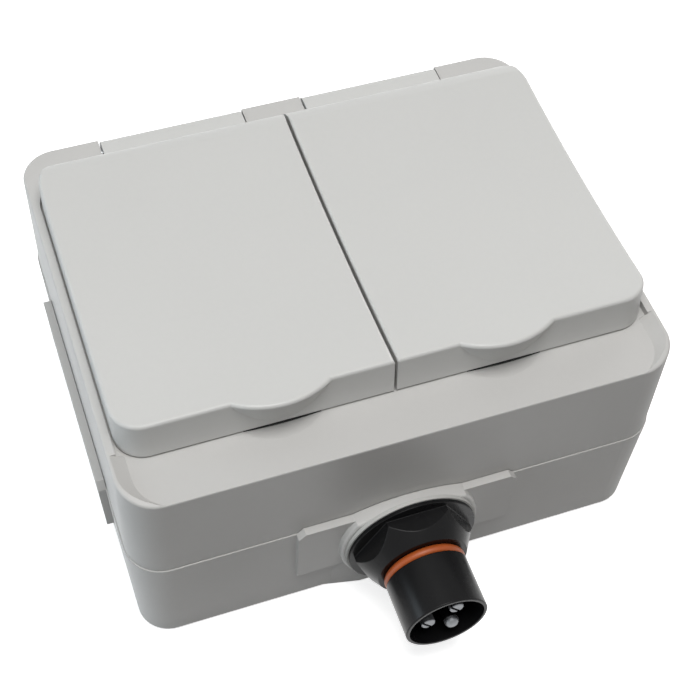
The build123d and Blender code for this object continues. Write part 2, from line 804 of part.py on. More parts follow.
def terminal_block(x, y, top):
    """Block under a strip with a wire hole in front and a screw hole below."""
    with Locations((x, y, terminal_bottom)):
        Box(
            terminal_width,
            terminal_depth,
            top - terminal_bottom,
            align=(Align.CENTER, Align.CENTER, Align.MIN),
        )
    with BuildSketch(Plane.XZ.offset(terminal_depth / 2 - y)) as wire_hole:
        with Locations((x, wire_level)):
            Circle(wire_radius + wire_hole_gap)
    extrude(wire_hole.sketch, amount=-wire_insert - wire_hole_gap, mode=Mode.SUBTRACT)
    with BuildSketch(Plane.XY.offset(terminal_bottom)) as screw_hole:
        with Locations((x, y + terminal_screw_offset)):
            Circle(terminal_screw_radius + thread_gap)
    extrude(screw_hole.sketch, amount=terminal_screw_length + thread_gap, mode=Mode.SUBTRACT)


with BuildPart() as line_busbar:
    contact_strip(-1)

with BuildPart() as neutral_busbar:
    contact_strip(1)

with BuildPart() as earth_busbar:
    with Locations((0, earth_strip_y, earth_strip_top)):
        Box(
            2 * socket_x + earth_clip_width,
            strip_width,
            strip_thickness,
            align=(Align.CENTER, Align.CENTER, Align.MAX),
        )
    terminal_block(0, earth_strip_y, earth_strip_bottom)

terminals = [
    (-terminal_x, socket_y - strip_offset),
    (terminal_x, socket_y + strip_offset),
    (0, earth_strip_y),
]


def screw(x, y, seat, down, shank_radius, head_radius, head_height, shank):
    """Pan head screw with a cross recess; its head stands off the seat."""
    way = -1 if down else 1
    with BuildSketch(Plane.XY.offset(seat)) as head:
        with Locations((x, y)):
            Circle(head_radius)
    extrude(head.sketch, amount=way * head_height)
    with BuildSketch(Plane.XY.offset(seat)) as body:
        with Locations((x, y)):
            Circle(shank_radius)
    extrude(body.sketch, amount=-way * shank)
    with BuildSketch(Plane.XY.offset(seat + way * head_height)) as cross:
        with Locations((x, y)):
            Rectangle(1.3 * head_radius, 0.28 * head_radius)
            Rectangle(0.28 * head_radius, 1.3 * head_radius)
    extrude(cross.sketch, amount=-way * 0.6 * head_height, mode=Mode.SUBTRACT)


with BuildPart() as terminal_screws:
    for x, y in terminals:
        screw(
            x,
            y + terminal_screw_offset,
            terminal_bottom,
            True,
            terminal_screw_radius,
            terminal_head_radius,
            terminal_head_height,
            terminal_screw_length,
        )

with BuildPart() as cover_screws:
    for x, y in cover_screw_points:
        screw(
            x,
            y,
            deck_level - cover_head_height - screw_gap,
            False,
            cover_screw_radius,
            cover_head_radius,
            cover_head_height,
            cover_screw_length,
        )

with BuildPart() as insert_screws:
    for x, y in insert_boss_points:
        screw(
            x,
            y,
            plate_bottom,
            True,
            insert_screw_radius,
            2 * insert_screw_radius,
            insert_head_height,
            deck_underside - plate_bottom,
        )

# Panel plug, clamped through the base wall by its locknut
with BuildPart() as plug_nut:
    with BuildSketch(Plane.XZ.offset(flange_end)):
        with Locations((0, plug_level)):
            RegularPolygon(plug_nut_flats / 2, 6, major_radius=False)
    extrude(amount=nut_end - flange_end)
    with BuildSketch(plug_plane):
        with BuildLine():
            Polyline(
                (flange_end, 0),
                (flange_end, nut_corner),
                (flange_end + plug_nut_straight, nut_corner),
                (nut_end, plug_nut_tip_radius),
                (nut_end, 0),
                close=True,
            )
        make_face()
    revolve(axis=plug_axis, mode=Mode.INTERSECT)

with BuildPart() as connector_body:
    with BuildSketch(plug_plane):
        with BuildLine():
            Polyline(
                (shank_start, 0),
                (shank_start, plug_shank_radius),
                (seal_end, plug_shank_radius),
                (seal_end, plug_flange_radius),
                (flange_end, plug_flange_radius),
                (flange_end, plug_groove_radius),
                (groove_end, plug_groove_radius),
                (groove_end, plug_tube_radius),
                (tube_end - plug_lip_round, plug_tube_radius),
                (tube_end, plug_tube_radius - plug_lip_round),
                (tube_end, 0),
                close=True,
            )
        make_face()
    revolve(axis=plug_axis)
    add(plug_nut.part)
    with BuildSketch(plug_plane):
        with BuildLine():
            Polyline(
                (shank_start, 0),
                (shank_start, core_radius),
                (tube_floor, core_radius),
                (tube_floor, plug_tube_bore),
                (tube_end, plug_tube_bore),
                (tube_end, 0),
                close=True,
            )
        make_face()
    revolve(axis=plug_axis, mode=Mode.SUBTRACT)

with BuildPart() as connector_flange_seal:
    with BuildSketch(Plane.XZ.offset(boss_face)):
        with Locations((0, plug_level)):
            Circle(plug_flange_radius + plug_seal_proud)
            Circle(plug_shank_radius + plug_shank_gap, mode=Mode.SUBTRACT)
    extrude(amount=plug_seal_thickness)

with BuildPart() as connector_o_ring:
    with BuildSketch(plug_plane):
        with Locations(((nut_end + groove_end) / 2, plug_groove_radius + o_ring_gap + o_ring_cord)):
            Circle(o_ring_cord)
    revolve(axis=plug_axis)

with BuildPart() as connector_locknut:
    with BuildSketch(Plane.XZ.offset(boss_seat)):
        with Locations((0, plug_level)):
            RegularPolygon(locknut_flats / 2, 6, major_radius=False)
            Circle(plug_shank_radius + locknut_gap, mode=Mode.SUBTRACT)
    extrude(amount=-locknut_thickness)

pin_angles = {"line": 189, "neutral": 51, "earth": -60}
pin_points = {
    name: (
        contact_pin_circle * cos(radians(angle)),
        plug_level + contact_pin_circle * sin(radians(angle)),
    )
    for name, angle in pin_angles.items()
}

with BuildPart() as connector_pin_carrier:
    with BuildSketch(Plane.XZ.offset(shank_start)):
        with Locations((0, plug_level)):
            Circle(core_radius - plug_core_gap)
        with Locations(*pin_points.values()):
            Circle(contact_pin_radius + contact_pin_gap, mode=Mode.SUBTRACT)
    extrude(amount=tube_floor - shank_start)


def contact_pin(name, lead=0):
    """Round contact pin, from the back of its carrier to its tip, longer than the others by the lead."""
    with BuildSketch(Plane.XZ.offset(contact_pin_start)) as section:
        with Locations(pin_points[name]):
            Circle(contact_pin_radius)
    extrude(section.sketch, amount=contact_pin_end + lead - contact_pin_start)


def pin_slot(name):
    """Slot that makes the tip of a contact pin springy."""
    x, z = pin_points[name]
    with BuildSketch(Plane.XZ.offset(contact_pin_end)) as section:
        with Locations(Location((x, z), -contact_slot_angle)):
            with Locations((0, -contact_slot_offset)):
                Rectangle(4 * contact_pin_radius, contact_slot)
    extrude(section.sketch, amount=-contact_slot_depth, mode=Mode.SUBTRACT)


with BuildPart() as line_pin:
    contact_pin("line")
    chamfer(line_pin.faces().sort_by(Axis.Y)[0].edges(), contact_pin_chamfer)
    pin_slot("line")

with BuildPart() as neutral_pin:
    contact_pin("neutral")
    chamfer(neutral_pin.faces().sort_by(Axis.Y)[0].edges(), contact_pin_chamfer)
    pin_slot("neutral")

with BuildPart() as earth_pin:
    contact_pin("earth", earth_pin_lead)
    fillet(earth_pin.faces().sort_by(Axis.Y)[0].edges(), contact_pin_nose)


def wire(name, terminal, bend):
    """Insulated wire from the back of a plug pin into its terminal block."""
    x, z = pin_points[name]
    end_x, block_y = terminal
    end_z = wire_level
    end_y = block_y - terminal_depth / 2 + wire_insert
    with BuildLine() as route:
        FilletPolyline(
            (x, contact_pin_gap - contact_pin_start, z),
            (x, wire_straight - contact_pin_start, z),
            (end_x, end_y - wire_end_straight, end_z),
            (end_x, end_y, end_z),
            radius=bend,
        )
    with BuildSketch(Plane(origin=route.line @ 0, z_dir=route.line % 0)) as section:
        Circle(wire_radius)
    sweep(section.sketch, path=route.line)


with BuildPart() as line_wire:
    wire("line", terminals[0], line_wire_bend)

with BuildPart() as neutral_wire:
    wire("neutral", terminals[1], wire_bend)

with BuildPart() as earth_wire:
    wire("earth", terminals[2], wire_bend)

# Labels and files
pieces = {
    "back_box": back_box,
    "cover_frame": cover_frame,
    "cover_gasket": cover_gasket,
    "left_lid": left_lid,
    "right_lid": right_lid,
    "left_lid_gasket": left_lid_gasket,
    "right_lid_gasket": right_lid_gasket,
    "left_hinge_pin": left_hinge_pin,
    "right_hinge_pin": right_hinge_pin,
    "left_lid_spring": left_lid_spring,
    "right_lid_spring": right_lid_spring,
    "left_socket_insert": left_socket_insert,
    "right_socket_insert": right_socket_insert,
    "left_insert_seal": left_insert_seal,
    "right_insert_seal": right_insert_seal,
    "left_earth_clip": left_earth_clip,
    "right_earth_clip": right_earth_clip,
    "line_busbar": line_busbar,
    "neutral_busbar": neutral_busbar,
    "earth_busbar": earth_busbar,
    "terminal_screws": terminal_screws,
    "cover_screws": cover_screws,
    "insert_screws": insert_screws,
    "connector_body": connector_body,
    "connector_flange_seal": connector_flange_seal,
    "connector_o_ring": connector_o_ring,
    "connector_locknut": connector_locknut,
    "connector_pin_carrier": connector_pin_carrier,
    "line_pin": line_pin,
    "neutral_pin": neutral_pin,
    "earth_pin": earth_pin,
    "line_wire": line_wire,
    "neutral_wire": neutral_wire,
    "earth_wire": earth_wire,
}
os.makedirs("parts", exist_ok=True)
for name, piece in pieces.items():
    piece.part.label = name
    export_step(piece.part, f"parts/{name}.step")
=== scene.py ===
import json
import math
import bpy
from mathutils import Euler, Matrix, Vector


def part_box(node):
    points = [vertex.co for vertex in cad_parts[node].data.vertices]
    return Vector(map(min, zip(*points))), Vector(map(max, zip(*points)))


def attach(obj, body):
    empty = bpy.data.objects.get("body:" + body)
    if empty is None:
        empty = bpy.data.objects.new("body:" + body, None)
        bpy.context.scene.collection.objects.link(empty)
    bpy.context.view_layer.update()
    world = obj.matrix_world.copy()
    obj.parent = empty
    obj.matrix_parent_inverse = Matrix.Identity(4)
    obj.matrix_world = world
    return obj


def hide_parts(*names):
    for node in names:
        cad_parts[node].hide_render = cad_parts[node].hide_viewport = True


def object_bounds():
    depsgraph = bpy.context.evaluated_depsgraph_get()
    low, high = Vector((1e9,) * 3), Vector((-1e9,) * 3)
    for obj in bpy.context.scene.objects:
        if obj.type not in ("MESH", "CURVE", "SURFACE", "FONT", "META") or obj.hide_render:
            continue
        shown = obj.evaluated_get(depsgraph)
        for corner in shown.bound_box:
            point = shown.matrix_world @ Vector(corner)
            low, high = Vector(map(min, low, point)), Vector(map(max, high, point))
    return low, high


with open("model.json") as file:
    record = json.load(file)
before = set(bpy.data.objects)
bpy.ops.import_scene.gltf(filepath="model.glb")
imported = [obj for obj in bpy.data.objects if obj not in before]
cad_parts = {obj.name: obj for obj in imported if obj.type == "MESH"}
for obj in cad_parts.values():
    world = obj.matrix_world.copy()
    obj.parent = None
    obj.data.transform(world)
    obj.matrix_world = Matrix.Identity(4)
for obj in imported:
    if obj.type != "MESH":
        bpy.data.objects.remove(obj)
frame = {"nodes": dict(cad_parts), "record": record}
cad_low, cad_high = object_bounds()


# Helpers for node trees
def feed(socket, value):
    """Links an input socket to an output socket, or sets it to a plain value."""
    if isinstance(value, bpy.types.NodeSocket):
        socket.id_data.links.new(value, socket)
    else:
        socket.default_value = value


def set_inputs(made, **inputs):
    """Feeds the input sockets of a node by name; an underscore stands for a space."""
    for label, value in inputs.items():
        feed(made.inputs[label.replace("_", " ")], value)


def add_node(tree, kind, settings=None, **inputs):
    """New node of a tree, with its settings made and its input sockets fed."""
    made = tree.nodes.new(kind)
    for label, value in (settings or {}).items():
        setattr(made, label, value)
    set_inputs(made, **inputs)
    return made


def combine(tree, **parts):
    """Vector put together from parts x, y and z that are numbers or sockets."""
    made = add_node(tree, "ShaderNodeCombineXYZ")
    for axis, value in parts.items():
        feed(made.inputs[axis.upper()], value)
    return made.outputs[0]


def reckon(tree, operation, first, second=0.0):
    """Result of one sum with two numbers or sockets."""
    made = add_node(tree, "ShaderNodeMath", {"operation": operation})
    feed(made.inputs[0], first)
    feed(made.inputs[1], second)
    return made.outputs[0]


def new_group(name, inputs, outputs, kind="ShaderNodeTree"):
    """Node group with its given values and its results; inputs hold (name, type, default)."""
    tree = bpy.data.node_groups.new(name, kind)
    for label, socket, default in inputs:
        made = tree.interface.new_socket(label, in_out="INPUT", socket_type=socket)
        if default is not None:
            made.default_value = default
    for label, socket in outputs:
        tree.interface.new_socket(label, in_out="OUTPUT", socket_type=socket)
    given = tree.nodes.new("NodeGroupInput")
    result = tree.nodes.new("NodeGroupOutput")
    return tree, given.outputs, result.inputs


def empty_tree(owner):
    """Node tree of a material or a world, with nothing in it."""
    owner.use_nodes = True
    owner.node_tree.nodes.clear()
    return owner.node_tree


def linear(red, green, blue):
    """Colour of a screen value 0 to 255 in linear light."""
    values = []
    for part in (red, green, blue):
        part /= 255
        values.append(part / 12.92 if part <= 0.04045 else ((part + 0.055) / 1.055) ** 2.4)
    return (*values, 1.0)


# Surface effects that the finishes share
def make_mould_grain():
    """Eroded texture of a moulding tool: a fine height, a faint tone and a slow drift."""
    tree, given, result = new_group(
        "mould_grain",
        [("Grain Scale", "NodeSocketFloat", 2300.0), ("Drift Scale", "NodeSocketFloat", 14.0)],
        [("Height", "NodeSocketFloat"), ("Tone", "NodeSocketFloat"), ("Drift", "NodeSocketFloat")],
    )
    place = add_node(tree, "ShaderNodeTexCoord").outputs["Object"]
    noises = {
        "Height": {"Scale": given["Grain Scale"], "Detail": 3.0, "Roughness": 0.6},
        "Tone": {"Scale": 620.0, "Detail": 2.0, "Roughness": 0.7},
        "Drift": {"Scale": given["Drift Scale"], "Detail": 4.0, "Roughness": 0.55},
    }
    for label, values in noises.items():
        noise = add_node(tree, "ShaderNodeTexNoise", Vector=place, **values)
        feed(result[label], noise.outputs["Fac"])
    return tree


def make_tone_shift():
    """Colour moved a little darker or lighter by two masks around one half."""
    tree, given, result = new_group(
        "tone_shift",
        [
            ("Color", "NodeSocketColor", (0.6, 0.6, 0.6, 1.0)),
            ("Coarse", "NodeSocketFloat", 0.5),
            ("Coarse Amount", "NodeSocketFloat", 0.05),
            ("Fine", "NodeSocketFloat", 0.5),
            ("Fine Amount", "NodeSocketFloat", 0.03),
        ],
        [("Color", "NodeSocketColor")],
    )
    gain = 1.0
    for mask in ("Coarse", "Fine"):
        centred = reckon(tree, "SUBTRACT", given[mask], 0.5)
        change = reckon(tree, "MULTIPLY", centred, given[mask + " Amount"])
        gain = reckon(tree, "ADD", change, gain)
    shift = add_node(tree, "ShaderNodeVectorMath", {"operation": "SCALE"}, Scale=gain)
    feed(shift.inputs[0], given["Color"])
    feed(result["Color"], shift.outputs[0])
    return tree


mould_grain = make_mould_grain()
tone_shift = make_tone_shift()
# Range that noise seldom leaves
noise_low = 0.3
noise_high = 0.7
# Width over which a moulded edge catches the light, and how finely it is sampled
soft_edge = 0.0003
edge_samples = 6
# How strongly the fine heights of plastic and metal tilt the surface
grain_strength = 0.35
line_strength = 0.2
line_depth = 0.00001


def new_material(name):
    """Material with its shader and its output, and no texture yet."""
    made = bpy.data.materials.new(name)
    tree = empty_tree(made)
    shader = add_node(tree, "ShaderNodeBsdfPrincipled")
    add_node(tree, "ShaderNodeOutputMaterial", Surface=shader.outputs["BSDF"])
    return made, tree, shader


def uneven_gloss(tree, mask, rough):
    """Roughness that goes from its lowest to its highest value with a noise."""
    spread = add_node(tree, "ShaderNodeMapRange", Value=mask, From_Min=noise_low, From_Max=noise_high)
    set_inputs(spread, To_Min=rough[0], To_Max=rough[1])
    return spread.outputs["Result"]


def moulded(
    name,
    colour,
    rough=(0.42, 0.56),
    shine=0.5,
    grain=2300.0,
    depth=0.00002,
    drift=14.0,
    drift_amount=0.05,
    fleck_amount=0.03,
):
    """Moulded plastic or rubber: eroded grain, drifting tone, uneven gloss and soft edges."""
    made, tree, shader = new_material(name)
    texture = add_node(tree, "ShaderNodeGroup", {"node_tree": mould_grain})
    set_inputs(texture, Grain_Scale=grain, Drift_Scale=drift)
    drifting = texture.outputs["Drift"]
    tone = add_node(tree, "ShaderNodeGroup", {"node_tree": tone_shift}, Color=colour)
    set_inputs(tone, Coarse=drifting, Coarse_Amount=drift_amount)
    set_inputs(tone, Fine=texture.outputs["Tone"], Fine_Amount=fleck_amount)
    edge = add_node(tree, "ShaderNodeBevel", {"samples": edge_samples}, Radius=soft_edge)
    bump = add_node(tree, "ShaderNodeBump", Strength=grain_strength, Distance=depth)
    set_inputs(bump, Height=texture.outputs["Height"], Normal=edge.outputs["Normal"])
    set_inputs(
        shader,
        Base_Color=tone.outputs["Color"],
        Roughness=uneven_gloss(tree, drifting, rough),
        Specular_IOR_Level=shine,
        Normal=bump.outputs["Normal"],
    )
    return made


def metal(name, colour, rough=(0.2, 0.36), stretch=(1.0, 12.0, 12.0)):
    """Drawn or plated metal with fine lines along one axis."""
    made, tree, shader = new_material(name)
    place = add_node(tree, "ShaderNodeTexCoord").outputs["Object"]
    drawn = add_node(tree, "ShaderNodeMapping", Vector=place, Scale=stretch)
    noise = add_node(tree, "ShaderNodeTexNoise", Vector=drawn.outputs["Vector"], Scale=260.0)
    set_inputs(noise, Detail=5.0, Roughness=0.65)
    lines = noise.outputs["Fac"]
    tone = add_node(tree, "ShaderNodeGroup", {"node_tree": tone_shift}, Color=colour)
    set_inputs(tone, Coarse=lines, Coarse_Amount=0.3, Fine_Amount=0.0)
    bump = add_node(tree, "ShaderNodeBump", Strength=line_strength, Distance=line_depth, Height=lines)
    set_inputs(
        shader,
        Base_Color=tone.outputs["Color"],
        Metallic=1.0,
        Roughness=uneven_gloss(tree, lines, rough),
        Normal=bump.outputs["Normal"],
    )
    return made


def wire_cover(name, colour):
    """Smooth insulation of a wire."""
    return moulded(name, colour, rough=(0.35, 0.45), drift=80.0, drift_amount=0.15)


finishes = {
    "housing_grey": moulded("housing_grey", linear(195, 194, 192)),
    "lid_grey": moulded("lid_grey", linear(204, 204, 202), rough=(0.4, 0.52), drift_amount=0.03),
    "insert_grey": moulded("insert_grey", linear(196, 196, 193), rough=(0.3, 0.4), depth=0.00001),
    "black_plastic": moulded(
        "black_plastic",
        linear(20, 20, 21),
        rough=(0.22, 0.3),
        shine=0.15,
        grain=1800.0,
        drift=40.0,
        drift_amount=0.3,
        fleck_amount=0.2,
    ),
    "orange_rubber": moulded(
        "orange_rubber",
        linear(168, 80, 31),
        rough=(0.4, 0.5),
        grain=3000.0,
        drift=90.0,
        drift_amount=0.2,
    ),
    "pale_rubber": moulded("pale_rubber", linear(186, 186, 183), rough=(0.55, 0.7)),
    # Also the colour of the strips in the finger dishes, which are painted shade under the lids' feet
    "dark_rubber": moulded(
        "dark_rubber",
        linear(34, 34, 35),
        rough=(0.6, 0.75),
        drift=60.0,
        drift_amount=0.2,
    ),
    "brass": metal("brass", linear(206, 172, 104)),
    "nickel_silver": metal(
        "nickel_silver",
        linear(126, 128, 131),
        rough=(0.35, 0.6),
        stretch=(12.0, 1.0, 12.0),
    ),
    "zinc_steel": metal("zinc_steel", linear(186, 190, 194), rough=(0.25, 0.4)),
    "brown_wire": wire_cover("brown_wire", linear(92, 56, 36)),
    "blue_wire": wire_cover("blue_wire", linear(46, 92, 170)),
    "green_wire": wire_cover("green_wire", linear(120, 160, 60)),
}
for part in frame["record"]["subparts"]:
    coats = frame["nodes"][part["node"]].data.materials
    coats.clear()
    coats.append(finishes[part["material_slot"]])


# Pieces that repeat, grown by geometry trees
def grow(name, tree, body, slot, **sizes):
    """Plain mesh made by a geometry tree from named sizes; it rides on a body."""
    piece = bpy.data.objects.new(name, bpy.data.meshes.new(name))
    bpy.context.scene.collection.objects.link(piece)
    growth = piece.modifiers.new("growth", "NODES")
    growth.node_group = tree
    sizes["finish"] = finishes[slot]
    for item in tree.interface.items_tree:
        key = item.name.replace(" ", "_").lower()
        if item.in_out == "INPUT" and key in sizes:
            growth[item.identifier] = sizes[key]
    grown = piece.evaluated_get(bpy.context.evaluated_depsgraph_get())
    mesh = bpy.data.meshes.new_from_object(grown)
    mesh.name = name
    piece.modifiers.clear()
    piece.data = mesh
    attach(piece, body)
    return piece


def moved(tree, geometry, place):
    """Geometry moved to a place."""
    return add_node(tree, "GeometryNodeTransform", Geometry=geometry, Translation=place).outputs["Geometry"]


def repeat(tree, piece, points, finish, result, **turning):
    """Ends a tree: the piece set on every point, made real and given its finish."""
    many = add_node(tree, "GeometryNodeInstanceOnPoints", Points=points, Instance=piece, **turning)
    real = add_node(tree, "GeometryNodeRealizeInstances", Geometry=many.outputs["Instances"])
    dressed = add_node(tree, "GeometryNodeSetMaterial", Geometry=real.outputs["Geometry"], Material=finish)
    feed(result[0], dressed.outputs["Geometry"])


def make_screw_tree():
    """Pan head screws on the corners of a rectangle, each with a cross recess and a thread."""
    tree, size, result = new_group(
        "pan_head_screws",
        [
            ("Head Radius", "NodeSocketFloat", 0.0036),
            ("Head Height", "NodeSocketFloat", 0.002),
            ("Shank Radius", "NodeSocketFloat", 0.00195),
            ("Shank Length", "NodeSocketFloat", 0.045),
            ("Thread Pitch", "NodeSocketFloat", 0.0016),
            ("Spacing X", "NodeSocketFloat", 0.131),
            ("Spacing Y", "NodeSocketFloat", 0.076),
            ("Middle", "NodeSocketVector", (0.0, 0.0, 0.0)),
            ("Seed", "NodeSocketInt", 4),
            ("Finish", "NodeSocketMaterial", None),
        ],
        [("Screws", "NodeSocketGeometry")],
        "GeometryNodeTree",
    )
    head_radius = size["Head Radius"]
    head_height = size["Head Height"]
    shank_length = size["Shank Length"]

    # Head: a cylinder whose upper half draws in and drops towards its rim, to a shallow dome
    dome_draw = -2.2
    dome_drop = -0.0006
    blank = add_node(
        tree,
        "GeometryNodeMeshCylinder",
        {"fill_type": "TRIANGLE_FAN"},
        Vertices=48,
        Side_Segments=12,
        Fill_Segments=6,
        Radius=head_radius,
        Depth=head_height,
    )
    place = add_node(tree, "GeometryNodeInputPosition").outputs[0]
    apart = add_node(tree, "ShaderNodeSeparateXYZ", Vector=place).outputs
    rise = reckon(tree, "MAXIMUM", reckon(tree, "DIVIDE", apart["Z"], head_height), 0.0)
    draw_in = reckon(tree, "MULTIPLY", reckon(tree, "POWER", rise, 3.0), dome_draw)
    across = add_node(tree, "ShaderNodeVectorMath", {"operation": "LENGTH"})
    feed(across.inputs[0], combine(tree, x=apart["X"], y=apart["Y"]))
    spread = reckon(tree, "DIVIDE", across.outputs["Value"], head_radius)
    drop = reckon(tree, "MULTIPLY", rise, dome_drop)
    shift = combine(
        tree,
        x=reckon(tree, "MULTIPLY", apart["X"], draw_in),
        y=reckon(tree, "MULTIPLY", apart["Y"], draw_in),
        z=reckon(tree, "MULTIPLY", reckon(tree, "MULTIPLY", spread, spread), drop),
    )
    pan = add_node(tree, "GeometryNodeSetPosition", Geometry=blank.outputs["Mesh"], Offset=shift)

    # Cross recess: two crossed bars taken out of the top, one a little deeper than the other
    bar_length = reckon(tree, "MULTIPLY", head_radius, 1.15)
    bar_width = reckon(tree, "MULTIPLY", head_radius, 0.26)
    shallow = reckon(tree, "MULTIPLY", head_height, 1.2)
    deep = reckon(tree, "MULTIPLY", head_height, 1.3)
    head_top = combine(tree, z=reckon(tree, "MULTIPLY", head_height, 0.5))
    weld_distance = 0.00001
    cross = add_node(tree, "GeometryNodeMeshBoolean", {"operation": "UNION"})
    for bar_size in (
        combine(tree, x=bar_length, y=bar_width, z=shallow),
        combine(tree, x=bar_width, y=bar_length, z=deep),
    ):
        bar = add_node(tree, "GeometryNodeMeshCube", Size=bar_size)
        feed(cross.inputs["Mesh 2"], bar.outputs["Mesh"])
    cut = add_node(tree, "GeometryNodeMeshBoolean", {"operation": "DIFFERENCE"})
    set_inputs(cut, Mesh_1=pan.outputs["Geometry"], Mesh_2=moved(tree, cross.outputs["Mesh"], head_top))
    head = add_node(tree, "GeometryNodeMergeByDistance", Geometry=cut.outputs["Mesh"], Distance=weld_distance)

    # Shank: a core with a thread wound round most of it
    core_radius = reckon(tree, "MULTIPLY", size["Shank Radius"], 0.8)
    ridge_radius = reckon(tree, "MULTIPLY", size["Shank Radius"], 0.18)
    wound_length = reckon(tree, "MULTIPLY", shank_length, 0.9)
    first_turn = combine(tree, z=reckon(tree, "MULTIPLY", shank_length, -0.96))
    core_middle = reckon(tree, "MULTIPLY", reckon(tree, "ADD", shank_length, head_height), -0.5)
    core = add_node(
        tree,
        "GeometryNodeMeshCylinder",
        {"fill_type": "TRIANGLE_FAN"},
        Vertices=24,
        Side_Segments=1,
        Fill_Segments=1,
        Radius=core_radius,
        Depth=shank_length,
    )
    winding = add_node(
        tree,
        "GeometryNodeCurveSpiral",
        Resolution=20,
        Rotations=reckon(tree, "DIVIDE", wound_length, size["Thread Pitch"]),
        Start_Radius=core_radius,
        End_Radius=core_radius,
        Height=wound_length,
    )
    ridge = add_node(tree, "GeometryNodeCurvePrimitiveCircle", Resolution=4, Radius=ridge_radius)
    thread = add_node(tree, "GeometryNodeCurveToMesh", Fill_Caps=True)
    set_inputs(thread, Curve=winding.outputs["Curve"], Profile_Curve=ridge.outputs["Curve"])

    # One screw on each corner, each turned by its own angle
    screw = add_node(tree, "GeometryNodeJoinGeometry")
    feed(screw.inputs[0], head.outputs["Geometry"])
    feed(screw.inputs[0], moved(tree, core.outputs["Mesh"], combine(tree, z=core_middle)))
    feed(screw.inputs[0], moved(tree, thread.outputs["Mesh"], first_turn))
    corners = add_node(tree, "GeometryNodeMeshGrid", Vertices_X=2, Vertices_Y=2)
    set_inputs(corners, Size_X=size["Spacing X"], Size_Y=size["Spacing Y"])
    # The fourth input and the second output are the highest value and the result as plain numbers
    turn = add_node(tree, "FunctionNodeRandomValue", {"data_type": "FLOAT"}, Seed=size["Seed"])
    feed(turn.inputs[3], math.pi / 2)
    repeat(
        tree,
        screw.outputs[0],
        moved(tree, corners.outputs["Mesh"], size["Middle"]),
        size["Finish"],
        result,
        Rotation=combine(tree, z=turn.outputs[1]),
    )
    return tree


screw_low, screw_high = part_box("cover_screws")
screw_reach = screw_high - screw_low
screw_middle = (screw_low + screw_high) / 2
head_radius = 0.0036
head_height = 0.002
cover_screws = grow(
    "threaded_cover_screws",
    make_screw_tree(),
    "box",
    "zinc_steel",
    head_radius=head_radius,
    head_height=head_height,
    shank_radius=0.00195,
    shank_length=screw_reach.z - head_height,
    thread_pitch=0.0016,
    spacing_x=screw_reach.x - 2 * head_radius,
    spacing_y=screw_reach.y - 2 * head_radius,
    middle=(screw_middle.x, screw_middle.y, screw_high.z - head_height / 2),
    seed=4,
)
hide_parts("cover_screws")


def make_painted_shade_strip_tree():
    """Two thin dark strips that lie in the finger dishes, bent to the round of the dish, as painted shade for
    the slit under each lid's foot.
    """
    tree, size, result = new_group(
        "dish_buffers",
        [
            ("Length", "NodeSocketFloat", 0.0206),
            ("Width", "NodeSocketFloat", 0.0015),
            ("Thickness", "NodeSocketFloat", 0.0003),
            ("Dish Radius", "NodeSocketFloat", 0.075),
            ("Dish Depth", "NodeSocketFloat", 0.00135),
            ("Dish Offset", "NodeSocketFloat", 0.0088),
            ("Spacing", "NodeSocketFloat", 0.0605),
            ("Middle", "NodeSocketVector", (0.0, 0.0, 0.0)),
            ("Finish", "NodeSocketMaterial", None),
        ],
        [("Buffers", "NodeSocketGeometry")],
        "GeometryNodeTree",
    )
    dish_radius = size["Dish Radius"]
    strip_size = combine(tree, x=size["Length"], y=size["Width"], z=size["Thickness"])
    strip = add_node(tree, "GeometryNodeMeshCube", Size=strip_size, Vertices_X=41, Vertices_Y=5, Vertices_Z=2)

    # Height of the dish above its lowest point, as on a ball of its radius
    place = add_node(tree, "GeometryNodeInputPosition").outputs[0]
    apart = add_node(tree, "ShaderNodeSeparateXYZ", Vector=place).outputs
    along = reckon(tree, "POWER", apart["X"], 2.0)
    across = reckon(tree, "POWER", reckon(tree, "SUBTRACT", apart["Y"], size["Dish Offset"]), 2.0)
    rest = reckon(tree, "SUBTRACT", reckon(tree, "POWER", dish_radius, 2.0), along)
    rest = reckon(tree, "SUBTRACT", rest, across)
    rise = reckon(tree, "SUBTRACT", dish_radius, reckon(tree, "SQRT", rest))
    bend = combine(tree, z=reckon(tree, "SUBTRACT", rise, size["Dish Depth"]))
    bent = add_node(tree, "GeometryNodeSetPosition", Geometry=strip.outputs["Mesh"], Offset=bend)

    first = combine(tree, x=reckon(tree, "MULTIPLY", size["Spacing"], -0.5))
    pair = add_node(tree, "GeometryNodeMeshLine", Count=2, Start_Location=first)
    set_inputs(pair, Offset=combine(tree, x=size["Spacing"]))
    spots = moved(tree, pair.outputs["Mesh"], size["Middle"])
    repeat(tree, bent.outputs["Geometry"], spots, size["Finish"], result)
    return tree


deck_level = 0.0688
lid_foot_y = -0.0458
dish_y = -0.0362
clearance = 0.0001
shade_strip_width = 0.0015
shade_strip_y = lid_foot_y + clearance + shade_strip_width / 2
# Dark strips in the finger dishes under each lid's foot: painted shade standing in for the dark slit beneath
# each finger tab
grow(
    "finger_dish_buffers",
    make_painted_shade_strip_tree(),
    "box",
    "dark_rubber",
    length=0.0206,
    width=shade_strip_width,
    thickness=0.0003,
    dish_radius=0.075,
    dish_depth=0.00135,
    dish_offset=dish_y - shade_strip_y,
    spacing=0.0605,
    middle=(0.0, shade_strip_y, deck_level + clearance),
)


